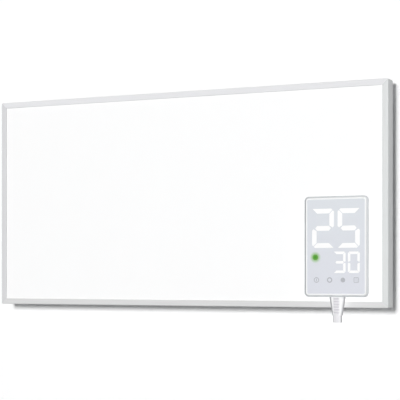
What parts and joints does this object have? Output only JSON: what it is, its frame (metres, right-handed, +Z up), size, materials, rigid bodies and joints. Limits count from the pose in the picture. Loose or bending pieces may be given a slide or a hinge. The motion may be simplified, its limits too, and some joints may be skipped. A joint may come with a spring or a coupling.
{
  "type": "infrared panel heater",
  "caption": "Flat wall-hung infrared heating panel: mitred metal frame, insulated heating stack, wall brackets and a hook-on touch controller with a lit display.",
  "frame": {"origin": "centre of the four wall screw holes, on the wall plane", "axes": "+X to the right seen from the room, +Y into the wall, +Z up"},
  "size_m": [0.6, 0.052, 0.3193],
  "materials": {
    "frame_silver": "satin",
    "plate_white": "satin",
    "sheet_grey": "satin",
    "zinc_steel": "satin",
    "key_aluminium": "satin",
    "carbon_laminate": "matte",
    "copper": "satin",
    "film_clear": "satin",
    "foam_grey": "matte",
    "mineral_wool": "matte",
    "rubber_grey": "matte",
    "silicone_grey": "matte",
    "bakelite_black": "satin",
    "wire_white": "satin",
    "wire_earth": "satin",
    "brass": "satin",
    "shell_grey": "satin",
    "bezel_white": "gloss",
    "face_grey": "gloss",
    "digit_white": "satin",
    "icon_grey": "satin",
    "lens_green": "gloss",
    "guide_white": "matte",
    "board_green": "satin",
    "led_package": "satin",
    "foam_black": "matte",
    "relay_black": "satin",
    "capacitor_yellow": "satin",
    "terminal_green": "satin",
    "relief_white": "satin"
  },
  "bodies": {
    "wall_brackets": {"wall_bracket_left": "zinc_steel", "wall_bracket_right": "zinc_steel"},
    "panel": {"frame_top": "frame_silver", "frame_bottom": "frame_silver", "frame_left": "frame_silver", "frame_right": "frame_silver", "corner_keys": "key_aluminium", "corner_key_screws": "zinc_steel", "radiant_plate": "plate_white", "heating_laminate": "carbon_laminate", "bus_bars": "copper", "insulating_film": "film_clear", "edge_spacers": "foam_grey", "insulation_board": "mineral_wool", "back_sheet": "sheet_grey", "back_sheet_screws": "zinc_steel", "hanger_left": "zinc_steel", "hanger_right": "zinc_steel", "hanger_rivets": "key_aluminium", "wall_bumpers": "rubber_grey", "thermal_cutout": "bakelite_black", "heater_wires": "wire_white", "earth_wire": "wire_earth", "earth_stud": "zinc_steel", "earth_lug": "copper", "earth_nut": "brass", "wire_grommet": "silicone_grey", "clinch_nuts": "zinc_steel", "base_plate": "shell_grey", "base_plate_pads": "silicone_grey", "base_plate_screws": "zinc_steel", "contact_block": "guide_white", "contact_springs": "brass"},
    "controller": {"back_shell": "shell_grey", "front_shell": "bezel_white", "face_panel": "face_grey", "large_digits": "digit_white", "small_digits": "digit_white", "status_lens": "lens_green", "touch_icons": "icon_grey", "touch_pads": "foam_black", "light_guide": "guide_white", "display_leds": "led_package", "circuit_board": "board_green", "control_chip": "relay_black", "relay": "relay_black", "film_capacitor": "capacitor_yellow", "mains_terminal_block": "terminal_green", "terminal_screws": "zinc_steel", "contact_blades": "brass", "temperature_sensor": "bakelite_black", "housing_screws": "zinc_steel", "strain_relief": "relief_white", "lead_clamp": "shell_grey", "clamp_screws": "zinc_steel"}
  },
  "joints": [
    {"name": "panel_lift", "type": "slide", "parent": "wall_brackets", "child": "panel", "axis": [0, 0, 1], "range_m": [0, 0.0125]},
    {"name": "controller_unhook", "type": "slide", "parent": "panel", "child": "controller", "axis": [0, 0, 1], "range_m": [0, 0.006]}
  ]
}
